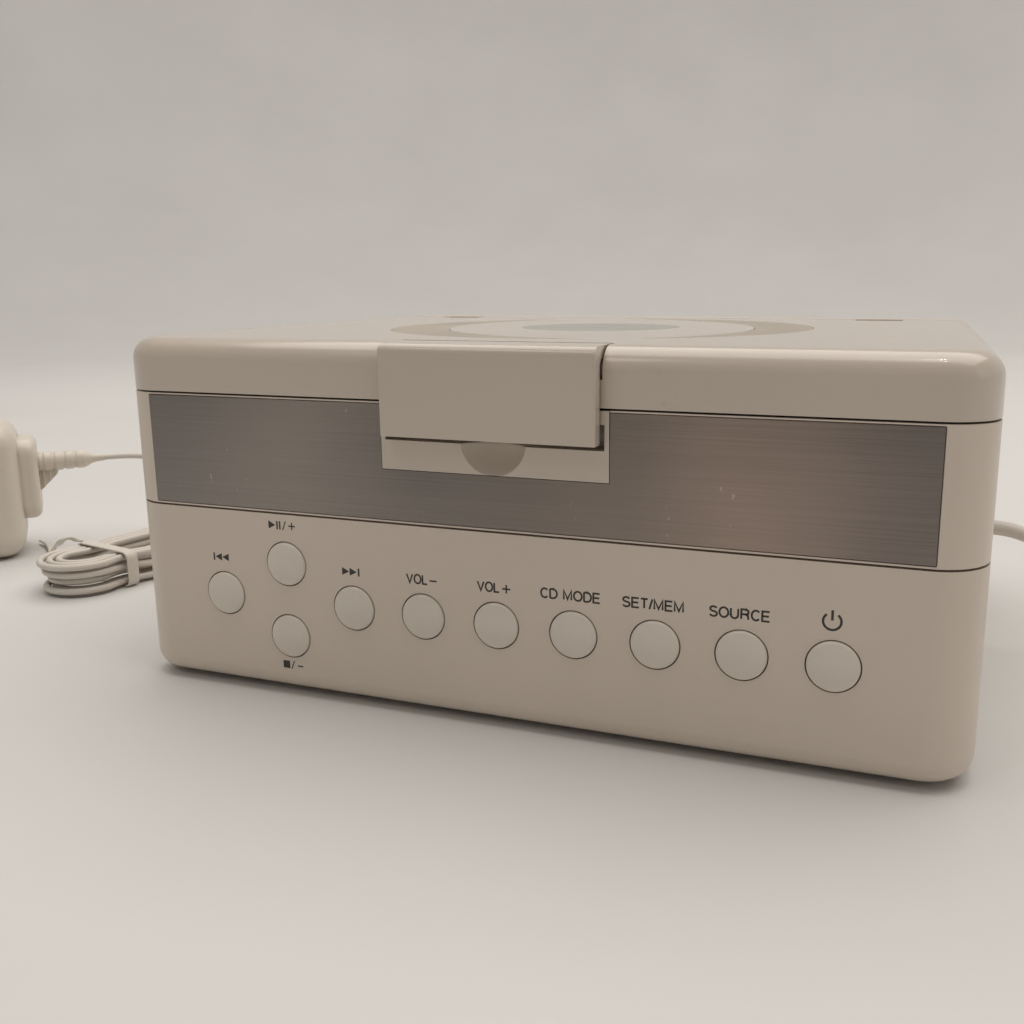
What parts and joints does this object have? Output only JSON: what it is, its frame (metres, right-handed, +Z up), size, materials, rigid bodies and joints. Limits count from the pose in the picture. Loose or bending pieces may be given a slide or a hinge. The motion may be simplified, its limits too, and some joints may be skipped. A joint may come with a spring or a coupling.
{
  "type": "wall mounted disc player",
  "caption": "Flip-lid disc player for a wall: latched hinged lid, push buttons, spindle drive with pickup, speakers, wall adapter on a tied lead, and wire aerial.",
  "frame": {"origin": "under the middle of the player's own footprint, at the soles of its rubber feet, without its lead", "axes": "the player lies on its back: X runs along the row of buttons from previous to power, Y from the button side to the hinge side, Z up through the lid, which faces the room when it hangs"},
  "size_m": [0.4447, 0.1616, 0.0862],
  "materials": {
    "case_white": "satin",
    "lid_white": "gloss",
    "button_white": "gloss",
    "brushed_plate": "brushed",
    "black_rubber": "matte",
    "black_plastic": "matte",
    "speaker_paper": "matte",
    "bright_steel": "satin",
    "circuit_board": "satin",
    "window_tint": "gloss",
    "lens_glass": "gloss",
    "gear_plastic": "satin",
    "brass_pinion": "satin",
    "lead_white": "satin",
    "tie_white": "satin",
    "adapter_white": "satin",
    "nickel_pins": "polished"
  },
  "bodies": {
    "case": {"rear_shell": "case_white", "mid_frame": "case_white", "deck": "case_white", "hinge_rail": "case_white", "trim_plate": "brushed_plate", "catch_frame": "case_white", "rubber_feet": "black_rubber", "case_screws": "bright_steel", "circuit_boards": "circuit_board", "tact_switches": "black_plastic", "small_screws": "bright_steel", "board_parts": "black_plastic", "dc_jack": "black_plastic", "audio_jack": "black_plastic", "speaker_frames": "black_plastic", "speaker_cones": "speaker_paper", "mech_chassis": "bright_steel", "damper_bushes": "black_rubber", "spindle_motor": "bright_steel", "mech_rods": "bright_steel", "sled_motor": "bright_steel", "hinge_pins": "bright_steel", "dc_plug": "lead_white", "plug_relief": "lead_white", "lead_run": "lead_white", "lead_hank": "lead_white", "lead_tail": "lead_white", "hank_tie": "tie_white", "adapter_body": "adapter_white", "adapter_boot": "adapter_white", "adapter_pins": "nickel_pins", "aerial_gland": "lead_white", "aerial_run": "lead_white", "aerial_hank": "lead_white", "aerial_tail": "lead_white", "aerial_tie": "tie_white", "aerial_tip": "lead_white"},
    "lid": {"lid_shell": "lid_white", "crescent_windows": "window_tint", "centre_window": "window_tint", "latch_pin": "bright_steel", "latch_spring": "bright_steel"},
    "latch": {"latch": "lid_white"},
    "disc_drive": {"spindle_shaft": "bright_steel", "turntable": "black_plastic", "turntable_pad": "black_rubber"},
    "pickup": {"pickup_sled": "black_plastic", "objective_lens": "lens_glass"},
    "feed_gear": {"drive_gear": "gear_plastic"},
    "feed_pinion": {"motor_pinion": "brass_pinion"},
    "button_previous": {"button_previous": "button_white"},
    "button_play": {"button_play": "button_white"},
    "button_stop": {"button_stop": "button_white"},
    "button_next": {"button_next": "button_white"},
    "button_volume_down": {"button_volume_down": "button_white"},
    "button_volume_up": {"button_volume_up": "button_white"},
    "button_mode": {"button_mode": "button_white"},
    "button_memory": {"button_memory": "button_white"},
    "button_source": {"button_source": "button_white"},
    "button_power": {"button_power": "button_white"}
  },
  "joints": [
    {"name": "lid_hinge", "type": "hinge", "parent": "case", "child": "lid", "pos_m": [0, 0.06345, 0.0799], "axis": [-1, 0, 0], "range_deg": [0, 75]},
    {"name": "latch_pivot", "type": "hinge", "parent": "lid", "child": "latch", "pos_m": [0, -0.07025, 0.081], "axis": [-1, 0, 0], "range_deg": [0, 32], "stiffness_Nm_per_rad": 0.02, "springref_deg": -11.46},
    {"name": "turntable_spin", "type": "hinge", "parent": "case", "child": "disc_drive", "pos_m": [0, 0, 0.0634], "axis": [0, 0, 1], "continuous": true},
    {"name": "pickup_slide", "type": "slide", "parent": "case", "child": "pickup", "axis": [0, 1, 0], "range_m": [0, 0.033]},
    {"name": "feed_gear_turn", "type": "hinge", "parent": "case", "child": "feed_gear", "pos_m": [0.0284, 0.028, 0.0463], "axis": [0, 0, 1], "range_deg": [-300, 0]},
    {"name": "feed_pinion_turn", "type": "hinge", "parent": "case", "child": "feed_pinion", "pos_m": [0.0359, 0.01501, 0.0463], "axis": [0, 0, 1], "range_deg": [0, 1190]},
    {"name": "press_previous", "type": "slide", "parent": "case", "child": "button_previous", "axis": [0, 1, 0], "range_m": [0, 0.0005], "stiffness_N_per_m": 500, "springref_m": -0.0006},
    {"name": "press_play", "type": "slide", "parent": "case", "child": "button_play", "axis": [0, 1, 0], "range_m": [0, 0.0005], "stiffness_N_per_m": 500, "springref_m": -0.0006},
    {"name": "press_stop", "type": "slide", "parent": "case", "child": "button_stop", "axis": [0, 1, 0], "range_m": [0, 0.0005], "stiffness_N_per_m": 500, "springref_m": -0.0006},
    {"name": "press_next", "type": "slide", "parent": "case", "child": "button_next", "axis": [0, 1, 0], "range_m": [0, 0.0005], "stiffness_N_per_m": 500, "springref_m": -0.0006},
    {"name": "press_volume_down", "type": "slide", "parent": "case", "child": "button_volume_down", "axis": [0, 1, 0], "range_m": [0, 0.0005], "stiffness_N_per_m": 500, "springref_m": -0.0006},
    {"name": "press_volume_up", "type": "slide", "parent": "case", "child": "button_volume_up", "axis": [0, 1, 0], "range_m": [0, 0.0005], "stiffness_N_per_m": 500, "springref_m": -0.0006},
    {"name": "press_mode", "type": "slide", "parent": "case", "child": "button_mode", "axis": [0, 1, 0], "range_m": [0, 0.0005], "stiffness_N_per_m": 500, "springref_m": -0.0006},
    {"name": "press_memory", "type": "slide", "parent": "case", "child": "button_memory", "axis": [0, 1, 0], "range_m": [0, 0.0005], "stiffness_N_per_m": 500, "springref_m": -0.0006},
    {"name": "press_source", "type": "slide", "parent": "case", "child": "button_source", "axis": [0, 1, 0], "range_m": [0, 0.0005], "stiffness_N_per_m": 500, "springref_m": -0.0006},
    {"name": "press_power", "type": "slide", "parent": "case", "child": "button_power", "axis": [0, 1, 0], "range_m": [0, 0.0005], "stiffness_N_per_m": 500, "springref_m": -0.0006}
  ],
  "couplings": [
    {"joint": "feed_gear_turn", "follows": "pickup_slide", "rad_per_m": -156.25},
    {"joint": "feed_pinion_turn", "follows": "pickup_slide", "rad_per_m": 625}
  ]
}
